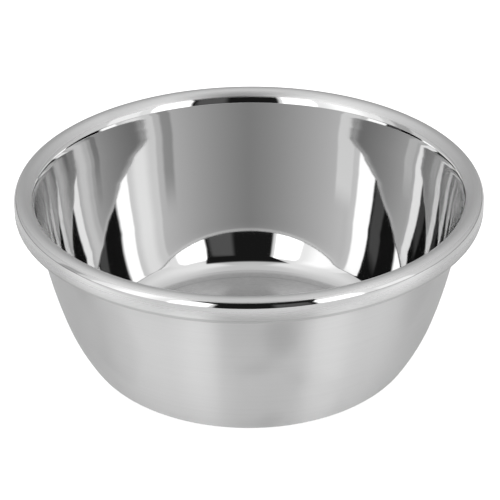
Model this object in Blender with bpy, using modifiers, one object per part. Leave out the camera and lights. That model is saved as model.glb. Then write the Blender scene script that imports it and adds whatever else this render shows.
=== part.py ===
"""Deep steel mixing bowl: one drawn sheet, whose rim is rolled outwards round a steel wire.

Metres, +Z up. The bowl is round about Z, and the origin is the centre of its base's underside.
"""

import math

import bpy
from mathutils import Vector

# Overall size
HEIGHT = 0.0981
BASE_FLAT_RADIUS = 0.07383
SHEET = 0.0008

# Wall, followed up its outer face. A lean is the angle from upright where a bend ends, in degrees.
CORNER_RADIUS = 0.0148
CORNER_LEAN = 32.0
LOWER_WALL_RADIUS = 0.110
LOWER_WALL_LEAN = 17.8
UPPER_WALL_RADIUS = 0.280
UPPER_WALL_LEAN = 8.3
TOP_WALL_RADIUS = 0.190
TOP_WALL_LEAN = 6.5

# Rolled bead, with its radii measured on its hollow side
FLARE_RADIUS = 0.017
FLARE_LEAN = 15.0
ROLL_START_RADIUS = 0.0078
ROLL_START_LEAN = 50.0
ROLL_RADIUS = 0.0037
BEAD_FACE_LENGTH = 0.00505
HEM_BEND_RADIUS = 0.0032
HEM_BEND = 105.0
HEM_LENGTH = 0.0048

# Wire in the bead
WIRE_GAP = 0.0004
WIRE_SIDES = 12

# Fineness
AROUND = 64
CORNER_STEPS = 5
WALL_STEPS = 4
TOP_WALL_STEPS = 1
FLARE_STEPS = 2
ROLL_START_STEPS = 3
ROLL_STEPS = 8
HEM_STEPS = 4
MERGE_DISTANCE = 0.00001

UPRIGHT = 90.0


class SheetPath:
    """The sheet's outer face in section, drawn by a pen that runs straight or turns.

    The pen starts on the axis, under the base, and heads outwards. The sheet lies on its left.
    """

    def __init__(self):
        self.point = Vector((0.0, 0.0))
        self.heading = 0.0
        self.outer_face = []
        self.inner_face = []
        self.mark()

    def along(self):
        angle = math.radians(self.heading)
        return Vector((math.cos(angle), math.sin(angle)))

    def left(self):
        angle = math.radians(self.heading)
        return Vector((-math.sin(angle), math.cos(angle)))

    def mark(self):
        """Keep the pen's place on the outer face, and the place opposite it on the inner face."""
        self.outer_face.append(self.point.copy())
        self.inner_face.append(self.point + self.left() * SHEET)

    def straight(self, length):
        self.point = self.point + self.along() * length
        self.mark()

    def bend(self, radius, turn, steps):
        """Turn by an angle, positive to the left, and return the bend's centre."""
        side = math.copysign(radius, turn)
        centre = self.point + self.left() * side
        for _ in range(steps):
            self.heading += turn / steps
            self.point = centre - self.left() * side
            self.mark()
        return centre

    def bend_to_lean(self, radius, lean, steps):
        self.bend(radius, UPRIGHT - lean - self.heading, steps)


def rise(radius, first_lean, last_lean):
    """How far up the sheet goes in a bend from one lean to another."""
    first, last = math.radians(first_lean), math.radians(last_lean)
    return radius * abs(math.sin(last) - math.sin(first))


def draw_wall(path):
    """The flat base, the rounded corner, and the wall up to the bead."""
    path.straight(BASE_FLAT_RADIUS)
    path.bend_to_lean(CORNER_RADIUS, CORNER_LEAN, CORNER_STEPS)
    path.bend_to_lean(LOWER_WALL_RADIUS, LOWER_WALL_LEAN, WALL_STEPS)
    path.bend_to_lean(UPPER_WALL_RADIUS, UPPER_WALL_LEAN, WALL_STEPS)
    above = SHEET + rise(ROLL_RADIUS, ROLL_START_LEAN, UPRIGHT)
    above += rise(ROLL_START_RADIUS, FLARE_LEAN, ROLL_START_LEAN)
    above += rise(FLARE_RADIUS, TOP_WALL_LEAN, FLARE_LEAN)
    above += rise(TOP_WALL_RADIUS, TOP_WALL_LEAN, UPPER_WALL_LEAN)
    path.straight((HEIGHT - above - path.point.y) / path.along().y)
    path.bend_to_lean(TOP_WALL_RADIUS, TOP_WALL_LEAN, TOP_WALL_STEPS)


def draw_bead(path):
    """The rim flared, rolled over, and brought down its face and back to the wall.

    Returns the roll's centre.
    """
    path.bend_to_lean(FLARE_RADIUS, FLARE_LEAN, FLARE_STEPS)
    path.bend_to_lean(ROLL_START_RADIUS, ROLL_START_LEAN, ROLL_START_STEPS)
    roll_centre = path.bend(ROLL_RADIUS, -UPRIGHT - path.heading, ROLL_STEPS)
    path.straight(BEAD_FACE_LENGTH)
    path.bend(HEM_BEND_RADIUS, -HEM_BEND, HEM_STEPS)
    path.straight(HEM_LENGTH)
    return roll_centre


def steel(name, grey, roughness):
    """A bare steel finish."""
    material = bpy.data.materials.new(name)
    material.use_nodes = True
    shader = material.node_tree.nodes["Principled BSDF"]
    shader.inputs["Base Color"].default_value = (grey, grey, grey, 1.0)
    shader.inputs["Metallic"].default_value = 1.0
    shader.inputs["Roughness"].default_value = roughness
    return material


def bowl_shell(path, collection):
    """The whole sheet, turned about Z from its closed section."""
    outline = path.inner_face + path.outer_face[::-1]
    mesh = bpy.data.meshes.new("bowl_shell")
    points = [(point.x, 0.0, point.y) for point in outline]
    edges = [(i, i + 1) for i in range(len(points) - 1)]
    mesh.from_pydata(points, edges, [])
    shell = bpy.data.objects.new("bowl_shell", mesh)
    collection.objects.link(shell)
    screw = shell.modifiers.new("turn", "SCREW")
    screw.axis = "Z"
    screw.angle = math.tau
    screw.steps = AROUND
    screw.render_steps = AROUND
    screw.use_merge_vertices = True
    screw.merge_threshold = MERGE_DISTANCE
    screw.use_smooth_shade = True
    mesh.materials.append(steel("drawn_steel", 0.63, 0.15))
    return shell


def rim_wire(roll_centre, collection):
    """The steel ring that the rim is rolled round, clear of the sheet all the way."""
    bpy.ops.mesh.primitive_torus_add(
        major_radius=roll_centre.x,
        minor_radius=ROLL_RADIUS - WIRE_GAP,
        major_segments=AROUND,
        minor_segments=WIRE_SIDES,
        location=(0.0, 0.0, roll_centre.y),
    )
    wire = bpy.context.object
    wire.name = "rim_wire"
    wire.data.name = "rim_wire"
    wire.data.shade_smooth()
    wire.data.materials.append(steel("wire_steel", 0.5, 0.35))
    for holder in list(wire.users_collection):
        holder.objects.unlink(wire)
    collection.objects.link(wire)
    return wire


def clear_scene():
    for thing in list(bpy.data.objects):
        bpy.data.objects.remove(thing, do_unlink=True)


def main():
    clear_scene()
    collection = bpy.data.collections.new("mixing_bowl")
    bpy.context.scene.collection.children.link(collection)
    path = SheetPath()
    draw_wall(path)
    roll_centre = draw_bead(path)
    bowl_shell(path, collection)
    rim_wire(roll_centre, collection)


main()
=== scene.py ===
"""The looks of a deep steel mixing bowl, mirror-polished inside and satin outside, in a studio.

Metres, +Z up. The bowl is round about Z and stands on the floor at Z = 0.
"""

import math

import bpy
from mathutils import Matrix, Vector, kdtree


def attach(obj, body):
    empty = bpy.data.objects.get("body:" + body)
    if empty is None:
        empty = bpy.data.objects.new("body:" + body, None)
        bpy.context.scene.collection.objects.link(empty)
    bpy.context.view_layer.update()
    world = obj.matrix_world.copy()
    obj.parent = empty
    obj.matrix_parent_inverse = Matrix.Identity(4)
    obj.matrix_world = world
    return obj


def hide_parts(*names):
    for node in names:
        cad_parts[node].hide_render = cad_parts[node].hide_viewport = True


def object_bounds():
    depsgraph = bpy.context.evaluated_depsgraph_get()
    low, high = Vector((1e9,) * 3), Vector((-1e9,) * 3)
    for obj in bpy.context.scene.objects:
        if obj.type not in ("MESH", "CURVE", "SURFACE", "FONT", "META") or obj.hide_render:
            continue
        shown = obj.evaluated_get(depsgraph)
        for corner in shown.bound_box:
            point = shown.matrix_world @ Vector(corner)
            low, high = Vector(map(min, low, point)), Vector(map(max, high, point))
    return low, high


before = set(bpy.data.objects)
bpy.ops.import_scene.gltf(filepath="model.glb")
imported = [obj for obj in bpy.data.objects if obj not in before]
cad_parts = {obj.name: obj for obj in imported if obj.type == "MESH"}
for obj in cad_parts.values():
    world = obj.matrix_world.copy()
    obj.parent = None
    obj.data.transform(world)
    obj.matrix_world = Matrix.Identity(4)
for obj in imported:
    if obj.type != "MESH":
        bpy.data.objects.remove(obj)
CAD_LOW, CAD_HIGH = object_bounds()

# The sheet, as the CAD draws it. A lean is the angle from upright where a bend ends, in degrees.
HEIGHT = CAD_HIGH.z
BASE_FLAT_RADIUS = 0.07383
SHEET = 0.0008
CORNER_RADIUS = 0.0148
CORNER_LEAN = 32.0
LOWER_WALL_RADIUS = 0.110
LOWER_WALL_LEAN = 17.8
UPPER_WALL_RADIUS = 0.280
UPPER_WALL_LEAN = 8.3
TOP_WALL_RADIUS = 0.190
TOP_WALL_LEAN = 6.5
FLARE_RADIUS = 0.017
FLARE_LEAN = 15.0
ROLL_START_RADIUS = 0.0078
ROLL_START_LEAN = 50.0
ROLL_RADIUS = 0.0037
BEAD_FACE_LENGTH = 0.00505
HEM_BEND_RADIUS = 0.0032
HEM_BEND = 105.0
HEM_LENGTH = 0.0048
WIRE_GAP = 0.0004
UPRIGHT = 90.0

# Where the finishes meet on the bead: the even satin starts a few steps into the roll's start and
# ends part way through the roll's turn, where the polished shoulder takes over
CROWN_FIRST_STEP = 4
CROWN_BLEND_STEPS = 3.0
SHOULDER_START = 0.66
SHOULDER_BLEND = 0.08

# Fineness of the turned shapes
AROUND = 384
FLOOR_STEPS = 12
CORNER_STEPS = 24
WALL_STEPS = 24
ROLL_START_STEPS = 16
ROLL_STEPS = 32
FACE_STEPS = 8
HEM_STEPS = 14
WIRE_SIDES = 48
MERGE_DISTANCE = 0.00001

# Camera, whose pitch and roll are in degrees and whose lens and sensor are in millimetres
CAMERA_BACK = 0.9949
CAMERA_HEIGHT = 0.6153
CAMERA_PITCH = 29.227
CAMERA_ROLL = -0.4
LENS = 157.74
SENSOR = 36.0
SIDE_SHIFT = 0.0014

# How many times light is followed from one reflection to the next
LIGHT_BOUNCES = 24

# Table. To the camera it glows by the lift. To the steel it has a pool of light, which starts just
# in front of the bowl, dies out under it, and falls to a part of its strength further forwards.
FLOOR_RADIUS = 1.3
FLOOR_SIDES = 96
FLOOR_GREY = 0.92
FLOOR_LIFT = 0.7
POOL_LIGHT = 0.31
POOL_START = -0.15
POOL_END = 0.0
POOL_FADE = -0.27
POOL_REST = 0.25

# Room, with the picture's white as 1 and angles in degrees. Azimuth 0 is towards the camera. Each
# light is a pair: how bright it is straight behind, and how much is added at the sides.
SIDE_AZIMUTH = 70.0
BACK_AZIMUTH = 180.0
SIDE_FALL = 1.3
WALL_LIGHT = (0.390, 0.56)
CEILING_LIGHT = (0.69, 0.42)
CEILING_START = (31.0, 56.0)
FRONT_DIP = 0.40
FRONT_DIP_END = (26.0, 44.0)
ZENITH_LIGHT = 0.76
ZENITH_START = (70.0, 85.0)

# Dim bars across the room: first and last angle and softness, and the share of light they take
SIDE_BAR = (-96.0, -84.0, 2.0)
SIDE_BAR_TOP = (24.0, 32.0)
SIDE_BAR_DIP = 0.4
HORIZON_BAR = (-12.0, 1.0, 2.0)
HORIZON_DIP = 0.5

# Boxes of light: first and last azimuth and softness, elevations it fades out over, brightness
LIGHT_BOXES = (
    ((-76.0, -19.0, 1.5), (40.0, 60.0), 1.17),
    ((-64.0, -45.0, 6.0), (40.0, 60.0), 1.48),
    ((-37.0, -18.5, 1.0), (42.0, 46.0), 2.15),
    ((50.0, 60.0, 4.0), (40.0, 60.0), 1.06),
    ((60.0, 80.0, 1.5), (25.0, 30.0), 1.22),
    ((31.0, 52.5, 1.5), (36.0, 46.0), 2.15),
)

# Dark gap round the camera, in slopes: sideways or upwards, over forwards. Each edge is its place
# low down, the height above which it moves outwards, and how fast it does.
GAP_LEFT = (-0.29, 0.8, -0.40)
GAP_RIGHT = (0.58, 0.6, 0.22)
GAP_SOFTNESS = 0.02
GAP_TOP = (1.7, 2.6)
GAP_REACH = 0.15
GAP_LIGHT = 0.012

# Stand in the gap: first and last azimuth and softness in degrees, and the slopes where it ends
STAND = (11.5, 27.5, 2.0)
STAND_TOP = (0.675, 0.781)
STAND_LIGHT = 0.10

# The wall eases into the flare: where it starts, and how fast it leans out
FLARE_BLEND_START = 0.0835
FLARE_BLEND = 2.9

# Polished steel: grey and roughness, and how widely each varies from place to place. Here and
# below, a scale is how many times its noise changes in a metre.
WALL_GREY = 0.70
CORNER_GREY = 0.68
WALL_GREY_SPREAD = 0.06
WALL_ROUGHNESS = 0.035
WALL_ROUGHNESS_SPREAD = 0.03
CLOUD_SCALE = 9.0
HAZE_SCALE = 40.0

# The bowl's floor is duller, with fine rings and marks, a worn middle, and a dark ring at its edge
FLOOR_STEEL_GREY = 0.53
FLOOR_RINGS_SPREAD = 0.16
FLOOR_MARKS_SPREAD = 0.14
FLOOR_MARKS_SCALE = 450.0
FLOOR_ROUGHNESS = 0.17
FLOOR_ROUGHNESS_SPREAD = 0.10
WORN_SHARE = 0.94
WORN_END = (0.048, 0.062)
EDGE_RING = (0.0716, 0.0732, 0.0006)
EDGE_RING_DIP = 0.06

# Waves and fine rings from spinning, which follow the section: radius less height times a slant
SECTION_SLANT = 1.5
WAVE_SCALE = 80.0
WAVE_DEPTH = 0.00003
FINE_RING_SCALE = 1400.0
FINE_RING_DEPTH = 0.0000004

# Heights over which the floor's finish, the corner's grey and the waves on the wall end
FLOOR_FINISH_END = (0.0009, 0.0014)
CORNER_GREY_END = (0.010, 0.030)
WAVES_END = (0.066, 0.078)

# Satin steel: roughness and stretch of each kind, its fine lines, its smudges, and the painted shade
# in the bead's crease
SATIN_GREY = 0.70
LINED_SATIN = (0.36, 1.0)
EVEN_SATIN = (0.43, 0.2)
SATIN_ROUGHNESS_SPREAD = 0.06
SATIN_CLOUD_SCALE = 14.0
ROUND_THE_BOWL = 0.25
LINE_SCALE = 14.0
LINES_ACROSS = 90.0
LINE_GREY_SPREAD = 0.06
LINE_DEPTH = 0.000002
SMUDGE_SCALE = 22.0
SMUDGE_START = (0.58, 0.72)
SMUDGE_ROUGHNESS = 0.05
SMUDGE_DIP = 0.03
# Painted shade: how much the satin's grey is darkened in the crease where the bead turns under
BEAD_CREASE_SHADE_DIP = 0.2

# Wire: drawn, dull and uneven
WIRE_GREY = 0.48
WIRE_GREY_SPREAD = 0.16
WIRE_ROUGHNESS = 0.405
WIRE_ROUGHNESS_SPREAD = 0.25
WIRE_PATCH_SCALE = 60.0
WIRE_LINE_SCALE = 2600.0
WIRE_LINE_DEPTH = 0.000006


class SheetPath:
    """The sheet's outer face in section, drawn by a pen that runs straight or turns."""

    def __init__(self):
        self.point = Vector((0.0, 0.0))
        self.heading = 0.0
        self.outer_face = []
        self.inner_face = []
        self.mark()

    def along(self):
        angle = math.radians(self.heading)
        return Vector((math.cos(angle), math.sin(angle)))

    def left(self):
        angle = math.radians(self.heading)
        return Vector((-math.sin(angle), math.cos(angle)))

    def mark(self):
        self.outer_face.append(self.point.copy())
        self.inner_face.append(self.point + self.left() * SHEET)

    def straight(self, length, steps=1):
        start = self.point
        for step in range(1, steps + 1):
            self.point = start + self.along() * (length * step / steps)
            self.mark()

    def bend(self, radius, turn, steps):
        side = math.copysign(radius, turn)
        centre = self.point + self.left() * side
        for _ in range(steps):
            self.heading += turn / steps
            self.point = centre - self.left() * side
            self.mark()
        return centre

    def bend_to_lean(self, radius, lean, steps):
        self.bend(radius, UPRIGHT - lean - self.heading, steps)


def rise(radius, first_lean, last_lean):
    """How far up the sheet goes in a bend from one lean to another."""
    first, last = math.radians(first_lean), math.radians(last_lean)
    return radius * abs(math.sin(last) - math.sin(first))


def draw_sheet():
    """The whole section, from the base's centre to the hem's edge.

    Returns the path, the roll's centre, and the number of its points that come before the bead.
    """
    path = SheetPath()
    path.straight(BASE_FLAT_RADIUS, FLOOR_STEPS)
    path.bend_to_lean(CORNER_RADIUS, CORNER_LEAN, CORNER_STEPS)
    path.bend_to_lean(LOWER_WALL_RADIUS, LOWER_WALL_LEAN, WALL_STEPS)
    path.bend_to_lean(UPPER_WALL_RADIUS, UPPER_WALL_LEAN, WALL_STEPS)
    above = SHEET + rise(ROLL_RADIUS, ROLL_START_LEAN, UPRIGHT)
    above += rise(ROLL_START_RADIUS, FLARE_LEAN, ROLL_START_LEAN)
    above += rise(FLARE_RADIUS, TOP_WALL_LEAN, FLARE_LEAN)
    above += rise(TOP_WALL_RADIUS, TOP_WALL_LEAN, UPPER_WALL_LEAN)
    path.straight((HEIGHT - above - path.point.y) / path.along().y, FACE_STEPS)
    path.bend_to_lean(TOP_WALL_RADIUS, TOP_WALL_LEAN, FACE_STEPS)
    wall_points = len(path.outer_face)
    path.bend_to_lean(FLARE_RADIUS, FLARE_LEAN, FACE_STEPS)
    path.bend_to_lean(ROLL_START_RADIUS, ROLL_START_LEAN, ROLL_START_STEPS)
    roll_centre = path.bend(ROLL_RADIUS, -UPRIGHT - path.heading, ROLL_STEPS)
    path.straight(BEAD_FACE_LENGTH, FACE_STEPS)
    path.bend(HEM_BEND_RADIUS, -HEM_BEND, HEM_STEPS)
    path.straight(HEM_LENGTH, FACE_STEPS)
    return path, roll_centre, wall_points


def turned(name, outline, closed=False):
    """A mesh turned about Z from an outline in the r-z plane."""
    mesh = bpy.data.meshes.new(name)
    points = [(point.x, 0.0, point.y) for point in outline]
    edges = [(i, i + 1) for i in range(len(points) - 1)]
    if closed:
        edges.append((len(points) - 1, 0))
    mesh.from_pydata(points, edges, [])
    piece = bpy.data.objects.new(name, mesh)
    bpy.context.scene.collection.objects.link(piece)
    screw = piece.modifiers.new("turn", "SCREW")
    screw.axis = "Z"
    screw.angle = math.tau
    screw.steps = AROUND
    screw.render_steps = AROUND
    screw.use_merge_vertices = True
    screw.merge_threshold = MERGE_DISTANCE
    screw.use_smooth_shade = True
    screw.use_normal_calculate = True
    bpy.context.view_layer.update()
    solid = bpy.data.meshes.new_from_object(piece.evaluated_get(bpy.context.evaluated_depsgraph_get()))
    piece.modifiers.clear()
    piece.data = solid
    return piece


def paint(piece, name, outline, values):
    """Store on each vertex the value that belongs to its place on the outline."""
    places = kdtree.KDTree(len(outline))
    for index, point in enumerate(outline):
        places.insert((point.x, point.y, 0.0), index)
    places.balance()
    chosen = []
    for vertex in piece.data.vertices:
        radius = math.hypot(vertex.co.x, vertex.co.y)
        chosen.append(values[places.find((radius, vertex.co.z, 0.0))[1]])
    piece.data.attributes.new(name, "FLOAT", "POINT").data.foreach_set("value", chosen)


class Tree:
    """Adds nodes to a node tree, each joined up as it is made."""

    def __init__(self, tree):
        self.tree = tree
        self.tree.nodes.clear()

    def node(self, kind, inputs=None, **settings):
        made = self.tree.nodes.new(kind)
        for key, value in settings.items():
            setattr(made, key, value)
        for key, value in (inputs or {}).items():
            self.feed(made.inputs[key], value)
        return made

    def feed(self, socket, value):
        if isinstance(value, bpy.types.NodeSocket):
            self.tree.links.new(value, socket)
        else:
            socket.default_value = value

    def math(self, operation, *values):
        return self.node("ShaderNodeMath", dict(enumerate(values)), operation=operation).outputs[0]

    def ramp(self, value, low, high, start=0.0, end=1.0):
        """From start to end, eased, as the value goes from low to high."""
        made = self.node(
            "ShaderNodeMapRange",
            {"Value": value, "From Min": low, "From Max": high, "To Min": start, "To Max": end},
            interpolation_type="SMOOTHSTEP",
        )
        return made.outputs["Result"]

    def blend(self, share, first, second):
        made = self.node(
            "ShaderNodeMix", {"Factor": share, "A": first, "B": second}, data_type="FLOAT"
        )
        return made.outputs["Result"]


def between(tree, value, low, high, soft):
    """1 where the value is between low and high, and 0 outside, with soft edges."""
    above_low = tree.ramp(value, low - soft, low + soft)
    below_high = tree.ramp(value, high - soft, high + soft, 1.0, 0.0)
    return tree.math("MULTIPLY", above_low, below_high)


def light_box(tree, light, azimuth, elevation, side, top, brightness):
    """The light, with a box of light laid over it, between two azimuths and fading out upwards."""
    across = between(tree, azimuth, *side)
    upward = tree.ramp(elevation, *top, 1.0, 0.0)
    return tree.blend(tree.math("MULTIPLY", across, upward), light, brightness)


def dimmed(tree, light, mask, dip):
    """A light or grey, with a share of it taken away where the mask is 1."""
    return tree.math("MULTIPLY", light, tree.math("MULTIPLY_ADD", mask, -dip, 1.0))


def gap_edge(tree, upward, place, start, widening):
    """How far sideways one edge of the camera's gap is, at a height."""
    above = tree.math("MAXIMUM", tree.math("SUBTRACT", upward, start), 0.0)
    return tree.math("MULTIPLY_ADD", above, widening, place)


def camera_gap(tree, light, azimuth, x, front, z):
    """The dark opening round the camera, which widens upwards, with a dim stand in its right side."""
    across = tree.math("DIVIDE", x, front)
    upward = tree.math("DIVIDE", z, front)
    from_left = tree.math("SUBTRACT", across, gap_edge(tree, upward, *GAP_LEFT))
    from_right = tree.math("SUBTRACT", gap_edge(tree, upward, *GAP_RIGHT), across)
    mask = tree.ramp(upward, *GAP_TOP, 1.0, 0.0)
    mask = tree.math("MULTIPLY", mask, tree.ramp(from_left, -GAP_SOFTNESS, GAP_SOFTNESS))
    mask = tree.math("MULTIPLY", mask, tree.ramp(from_right, -GAP_SOFTNESS, GAP_SOFTNESS))
    mask = tree.math("MULTIPLY", mask, tree.math("GREATER_THAN", front, GAP_REACH))
    stand = between(tree, azimuth, *STAND)
    stand = tree.math("MULTIPLY", stand, tree.ramp(upward, *STAND_TOP, 1.0, 0.0))
    dark = tree.math("MULTIPLY_ADD", stand, STAND_LIGHT, GAP_LIGHT)
    return tree.blend(mask, light, dark)


def room_light(tree, azimuth, elevation):
    """The pale room: bright at the sides, dimmer behind, and a little brighter overhead."""
    aside = tree.math("ABSOLUTE", azimuth)
    share = tree.node(
        "ShaderNodeMapRange",
        {
            "Value": aside,
            "From Min": SIDE_AZIMUTH,
            "From Max": BACK_AZIMUTH,
            "To Min": 1.0,
            "To Max": 0.0,
        },
    ).outputs["Result"]
    wall_share = tree.math("POWER", share, SIDE_FALL)
    wall = tree.math("MULTIPLY_ADD", wall_share, WALL_LIGHT[1], WALL_LIGHT[0])
    ceiling = tree.math("MULTIPLY_ADD", share, CEILING_LIGHT[1], CEILING_LIGHT[0])
    ceiling = tree.math("SUBTRACT", ceiling, tree.ramp(aside, *FRONT_DIP_END, FRONT_DIP, 0.0))
    light = tree.blend(tree.ramp(elevation, *CEILING_START), wall, ceiling)
    return tree.blend(tree.ramp(elevation, *ZENITH_START), light, ZENITH_LIGHT)


def studio_world():
    """White to the camera. To the steel: boxes of light, a dark gap between them, pale walls."""
    world = bpy.data.worlds.new("studio")
    bpy.context.scene.world = world
    world.use_nodes = True
    tree = Tree(world.node_tree)
    direction = tree.node("ShaderNodeTexCoord").outputs["Generated"]
    x, y, z = tree.node("ShaderNodeSeparateXYZ", {0: direction}).outputs
    front = tree.math("MAXIMUM", tree.math("MULTIPLY", y, -1.0), 0.001)
    azimuth = tree.math("DEGREES", tree.math("ARCTAN2", x, tree.math("MULTIPLY", y, -1.0)))
    elevation = tree.math("DEGREES", tree.math("ARCSINE", z))

    light = room_light(tree, azimuth, elevation)
    side_bar = between(tree, azimuth, *SIDE_BAR)
    side_bar = tree.math("MULTIPLY", side_bar, tree.ramp(elevation, *SIDE_BAR_TOP, 1.0, 0.0))
    light = dimmed(tree, light, side_bar, SIDE_BAR_DIP)
    for side, top, brightness in LIGHT_BOXES:
        light = light_box(tree, light, azimuth, elevation, side, top, brightness)
    light = camera_gap(tree, light, azimuth, x, front, z)
    light = dimmed(tree, light, between(tree, elevation, *HORIZON_BAR), HORIZON_DIP)

    is_camera = tree.node("ShaderNodeLightPath").outputs["Is Camera Ray"]
    strength = tree.blend(is_camera, light, 1.0)
    background = tree.node("ShaderNodeBackground", {"Color": grey(1.0), "Strength": strength})
    tree.node("ShaderNodeOutputWorld", {"Surface": background.outputs[0]})


def studio_floor():
    """A pale table, bright enough to print white, that still shows itself in the steel."""
    bpy.ops.mesh.primitive_circle_add(vertices=FLOOR_SIDES, radius=FLOOR_RADIUS, fill_type="NGON")
    floor = bpy.context.object
    floor.name = "studio_floor"
    material = bpy.data.materials.new("pale_table")
    material.use_nodes = True
    tree = Tree(material.node_tree)
    surface = tree.node("ShaderNodeBsdfDiffuse", {"Color": grey(FLOOR_GREY)})
    is_camera = tree.node("ShaderNodeLightPath").outputs["Is Camera Ray"]
    position = tree.node("ShaderNodeTexCoord").outputs["Object"]
    back = tree.node("ShaderNodeSeparateXYZ", {0: position}).outputs[1]
    pool = tree.ramp(back, POOL_START, POOL_END, POOL_LIGHT, 0.0)
    pool = tree.math("MULTIPLY", pool, tree.ramp(back, POOL_FADE, POOL_START, POOL_REST, 1.0))
    lift = tree.blend(is_camera, pool, FLOOR_LIFT)
    glow = tree.node("ShaderNodeEmission", {"Strength": lift})
    both = tree.node("ShaderNodeAddShader", {0: surface.outputs[0], 1: glow.outputs[0]})
    tree.node("ShaderNodeOutputMaterial", {"Surface": both.outputs[0]})
    floor.data.materials.append(material)


def grey(level):
    return (level, level, level, 1.0)


def grey_color(tree, level):
    return tree.node("ShaderNodeCombineColor", {0: level, 1: level, 2: level}).outputs[0]


def noise_1d(tree, place, scale, detail=0.0, roughness=0.5):
    """Smooth noise, about 0.5 on average, that changes along one measure only."""
    made = tree.node(
        "ShaderNodeTexNoise",
        {"W": place, "Scale": scale, "Detail": detail, "Roughness": roughness},
        noise_dimensions="1D",
    )
    return made.outputs["Fac"]


def noise_3d(tree, place, scale, detail=2.0, roughness=0.5):
    made = tree.node(
        "ShaderNodeTexNoise",
        {"Vector": place, "Scale": scale, "Detail": detail, "Roughness": roughness},
    )
    return made.outputs["Fac"]


def varied(tree, middle, noise, spread):
    """A middle value, moved up and down over a spread by a noise."""
    return tree.math("MULTIPLY_ADD", tree.math("SUBTRACT", noise, 0.5), spread, middle)


def bumped(tree, height, depth, normal=None):
    """A normal for a surface raised by a height times a depth in metres."""
    inputs = {"Height": height, "Strength": 1.0, "Distance": depth}
    if normal is not None:
        inputs["Normal"] = normal
    return tree.node("ShaderNodeBump", inputs).outputs["Normal"]


def steel_places(tree):
    """Where a point of the steel is: its position, the same without its height, its distance from
    the axis, and its height.
    """
    position = tree.node("ShaderNodeTexCoord").outputs["Object"]
    x, y, z = tree.node("ShaderNodeSeparateXYZ", {0: position}).outputs
    flat = tree.node("ShaderNodeCombineXYZ", {0: x, 1: y}).outputs[0]
    radius = tree.node("ShaderNodeVectorMath", {0: flat}, operation="LENGTH").outputs["Value"]
    return position, flat, radius, z


def eased_flare(tree, z):
    """A normal that leans the last of the wall outwards little by little, on its way to the flare."""
    above = tree.math("MAXIMUM", tree.math("SUBTRACT", z, FLARE_BLEND_START), 0.0)
    curve = tree.math("MULTIPLY", tree.math("POWER", above, 2.0), FLARE_BLEND)
    return bumped(tree, tree.math("MULTIPLY", curve, -1.0), 1.0)


def spun_normal(tree, along, z, fine_rings):
    """The wall's normal, with soft waves that die out upwards, and fine rings all over."""
    waves = noise_1d(tree, along, WAVE_SCALE, 1.0, 0.3)
    waves = tree.math("MULTIPLY", waves, tree.ramp(z, *WAVES_END, 1.0, 0.0))
    normal = bumped(tree, waves, WAVE_DEPTH, eased_flare(tree, z))
    return bumped(tree, fine_rings, FINE_RING_DEPTH, normal)


def floor_steel_level(tree, position, radius, fine_rings):
    """How grey the bowl's floor is."""
    marks = noise_3d(tree, position, FLOOR_MARKS_SCALE, 3.0, 0.6)
    level = varied(tree, FLOOR_STEEL_GREY, fine_rings, FLOOR_RINGS_SPREAD)
    level = tree.math("MULTIPLY", level, tree.ramp(radius, *WORN_END, WORN_SHARE, 1.0))
    level = varied(tree, level, marks, FLOOR_MARKS_SPREAD)
    edge_ring = between(tree, radius, *EDGE_RING)
    return tree.math("MULTIPLY_ADD", edge_ring, -EDGE_RING_DIP, level)


def polished_steel(tree, position, radius, z):
    """Mirror polish, with faint waves and rings from spinning on the wall, and a duller floor."""
    along = tree.math("SUBTRACT", radius, tree.math("MULTIPLY", z, SECTION_SLANT))
    on_floor = tree.ramp(z, *FLOOR_FINISH_END, 1.0, 0.0)
    haze = noise_3d(tree, position, HAZE_SCALE, 3.0)
    cloud = noise_3d(tree, position, CLOUD_SCALE, 2.0)
    fine_rings = noise_1d(tree, along, FINE_RING_SCALE, 2.0, 0.6)
    wall_rough = varied(tree, WALL_ROUGHNESS, haze, WALL_ROUGHNESS_SPREAD)
    floor_rough = varied(tree, FLOOR_ROUGHNESS, fine_rings, FLOOR_ROUGHNESS_SPREAD)
    wall_level = tree.ramp(z, *CORNER_GREY_END, CORNER_GREY, WALL_GREY)
    wall_level = varied(tree, wall_level, cloud, WALL_GREY_SPREAD)
    floor_level = floor_steel_level(tree, position, radius, fine_rings)
    shader = tree.node(
        "ShaderNodeBsdfPrincipled",
        {
            "Base Color": grey_color(tree, tree.blend(on_floor, wall_level, floor_level)),
            "Metallic": 1.0,
            "Roughness": tree.blend(on_floor, wall_rough, floor_rough),
            "Normal": spun_normal(tree, along, z, fine_rings),
        },
    )
    return shader.outputs[0]


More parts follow.
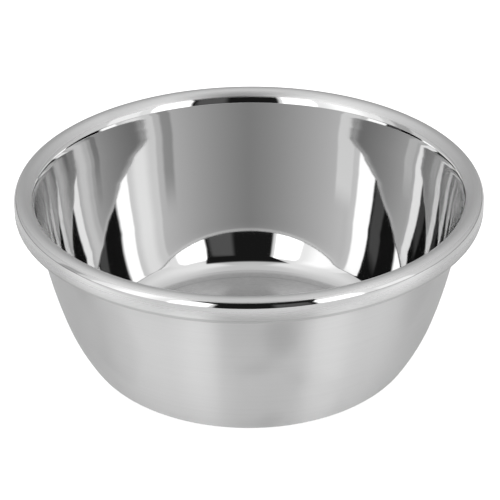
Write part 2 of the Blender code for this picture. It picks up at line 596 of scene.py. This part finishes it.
def satin_steel(tree, position, flat, radius, z, roughness, stretch):
    """Satin finish. Stretched, its fine lines round the bowl spread reflections up and down."""
    along = tree.math("SUBTRACT", z, radius)
    lines = tree.node(
        "ShaderNodeTexNoise",
        {
            "Vector": flat,
            "W": tree.math("MULTIPLY", along, LINES_ACROSS),
            "Scale": LINE_SCALE,
            "Detail": 3.0,
            "Roughness": 0.65,
        },
        noise_dimensions="4D",
    ).outputs["Fac"]
    cloud = noise_3d(tree, position, SATIN_CLOUD_SCALE, 2.0)
    smudge = tree.ramp(noise_3d(tree, position, SMUDGE_SCALE, 1.0), *SMUDGE_START)
    rough = varied(tree, roughness, cloud, SATIN_ROUGHNESS_SPREAD)
    rough = tree.math("MULTIPLY_ADD", smudge, SMUDGE_ROUGHNESS, rough)
    level = varied(tree, SATIN_GREY, lines, LINE_GREY_SPREAD)
    level = tree.math("MULTIPLY_ADD", smudge, -SMUDGE_DIP, level)
    # Painted shade: the satin's grey is darkened in the crease where the bead turns under
    edge = tree.node("ShaderNodeAttribute", attribute_name="bead_crease_shade").outputs["Fac"]
    shader = tree.node(
        "ShaderNodeBsdfPrincipled",
        {
            "Base Color": grey_color(tree, dimmed(tree, level, edge, BEAD_CREASE_SHADE_DIP)),
            "Metallic": 1.0,
            "Roughness": rough,
            "Anisotropic": stretch,
            "Anisotropic Rotation": ROUND_THE_BOWL,
            "Tangent": tree.node("ShaderNodeTangent", direction_type="RADIAL", axis="Z").outputs[0],
            "Normal": bumped(tree, lines, LINE_DEPTH),
        },
    )
    return shader.outputs[0]


def drawn_steel():
    """Steel polished inside and on the bead's shoulder, evenly satin over the rim's top, and satin
    with fine lines outside.
    """
    material = bpy.data.materials.new("drawn_steel")
    material.use_nodes = True
    tree = Tree(material.node_tree)
    position, flat, radius, z = steel_places(tree)
    satin = tree.node("ShaderNodeAttribute", attribute_name="satin").outputs["Fac"]
    polished = polished_steel(tree, position, radius, z)
    crown = tree.node("ShaderNodeAttribute", attribute_name="crown").outputs["Fac"]
    lined = satin_steel(tree, position, flat, radius, z, *LINED_SATIN)
    even = satin_steel(tree, position, flat, radius, z, *EVEN_SATIN)
    rubbed = tree.node("ShaderNodeMixShader", {0: crown, 1: lined, 2: even}).outputs[0]
    both = tree.node("ShaderNodeMixShader", {0: satin, 1: polished, 2: rubbed})
    tree.node("ShaderNodeOutputMaterial", {"Surface": both.outputs[0]})
    return material


def wire_steel():
    """Drawn wire: lines along it, and a dull, uneven skin."""
    material = bpy.data.materials.new("wire_steel")
    material.use_nodes = True
    tree = Tree(material.node_tree)
    position, _, radius, z = steel_places(tree)
    lines = noise_1d(tree, tree.math("ADD", radius, z), WIRE_LINE_SCALE, 2.0)
    patches = noise_3d(tree, position, WIRE_PATCH_SCALE, 3.0)
    shader = tree.node(
        "ShaderNodeBsdfPrincipled",
        {
            "Base Color": grey_color(tree, varied(tree, WIRE_GREY, patches, WIRE_GREY_SPREAD)),
            "Metallic": 1.0,
            "Roughness": varied(tree, WIRE_ROUGHNESS, patches, WIRE_ROUGHNESS_SPREAD),
            "Normal": bumped(tree, lines, WIRE_LINE_DEPTH),
        },
    )
    tree.node("ShaderNodeOutputMaterial", {"Surface": shader.outputs[0]})
    return material


def outside_satin(path, wall_points):
    """How satin the sheet's outer face is: all of it up the wall, and none in the bead's hollow."""
    hollow_end = wall_points + 2 * FACE_STEPS + ROLL_START_STEPS + ROLL_STEPS
    return [
        1.0 if index < wall_points or index > hollow_end else 0.0
        for index in range(len(path.outer_face))
    ]


def inside_satin(path, wall_points):
    """How satin the sheet's other face is: none inside the bowl, all of it over the rim's top, none
    on the bead's shoulder, and all of it again down the bead's outward face.
    """
    flare_end = wall_points + FACE_STEPS
    roll_start = flare_end + ROLL_START_STEPS
    face_start = roll_start + ROLL_STEPS
    shares = []
    for index in range(len(path.inner_face)):
        if index < roll_start:
            share = (index - flare_end - CROWN_FIRST_STEP) / CROWN_BLEND_STEPS
        elif index < face_start:
            turn = (index - roll_start) / ROLL_STEPS
            share = (SHOULDER_START - turn) / SHOULDER_BLEND
        else:
            share = (index - face_start) / FACE_STEPS
        shares.append(min(max(share, 0.0), 1.0))
    return shares


def crown_shares(path, wall_points):
    """1 over the top of the rim and its shoulder, and 0 elsewhere."""
    first = wall_points + FACE_STEPS
    last = first + ROLL_START_STEPS + ROLL_STEPS
    return [1.0 if first <= index < last else 0.0 for index in range(len(path.inner_face))]


def crease_shade_shares(path):
    """1 where the bead turns under, whose crease is darkened with painted shade, and 0 elsewhere."""
    face_end = len(path.inner_face) - FACE_STEPS - HEM_STEPS
    hem_end = face_end + HEM_STEPS
    return [1.0 if face_end < index < hem_end else 0.0 for index in range(len(path.inner_face))]


def build_shell():
    """The whole sheet. Returns the centre of its roll, for the wire."""
    path, roll_centre, wall_points = draw_sheet()
    shell = turned("bowl_shell_fine", path.inner_face + path.outer_face[::-1])
    outline = path.inner_face + path.outer_face
    outer_none = [0.0] * len(path.outer_face)
    paint(shell, "satin", outline, inside_satin(path, wall_points) + outside_satin(path, wall_points))
    paint(shell, "crown", outline, crown_shares(path, wall_points) + outer_none)
    # Paints shade into the crease where the bead turns under
    paint(shell, "bead_crease_shade", outline, crease_shade_shares(path) + outer_none)
    shell.data.materials.append(drawn_steel())
    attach(shell, "root")
    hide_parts("bowl_shell")
    return roll_centre


def build_wire(roll_centre):
    """The ring inside the rolled rim."""
    outline = []
    for step in range(WIRE_SIDES):
        angle = math.tau * step / WIRE_SIDES
        reach = Vector((math.cos(angle), math.sin(angle))) * (ROLL_RADIUS - WIRE_GAP)
        outline.append(roll_centre + reach)
    wire = turned("rim_wire_fine", outline, closed=True)
    wire.data.materials.append(wire_steel())
    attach(wire, "root")
    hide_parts("rim_wire")


def build_camera():
    data = bpy.data.cameras.new("camera")
    camera = bpy.data.objects.new("camera", data)
    bpy.context.scene.collection.objects.link(camera)
    data.sensor_width = SENSOR
    data.lens = LENS
    data.shift_x = SIDE_SHIFT
    turn = Matrix.Rotation(math.radians(UPRIGHT - CAMERA_PITCH), 4, "X")
    roll = Matrix.Rotation(math.radians(CAMERA_ROLL), 4, "Z")
    place = Matrix.Translation((0.0, -CAMERA_BACK, CAMERA_HEIGHT))
    camera.matrix_world = place @ turn @ roll
    bpy.context.scene.camera = camera


scene = bpy.context.scene
scene.view_settings.view_transform = "Standard"
scene.cycles.max_bounces = LIGHT_BOUNCES
scene.cycles.glossy_bounces = LIGHT_BOUNCES
studio_world()
studio_floor()
build_camera()
build_wire(build_shell())
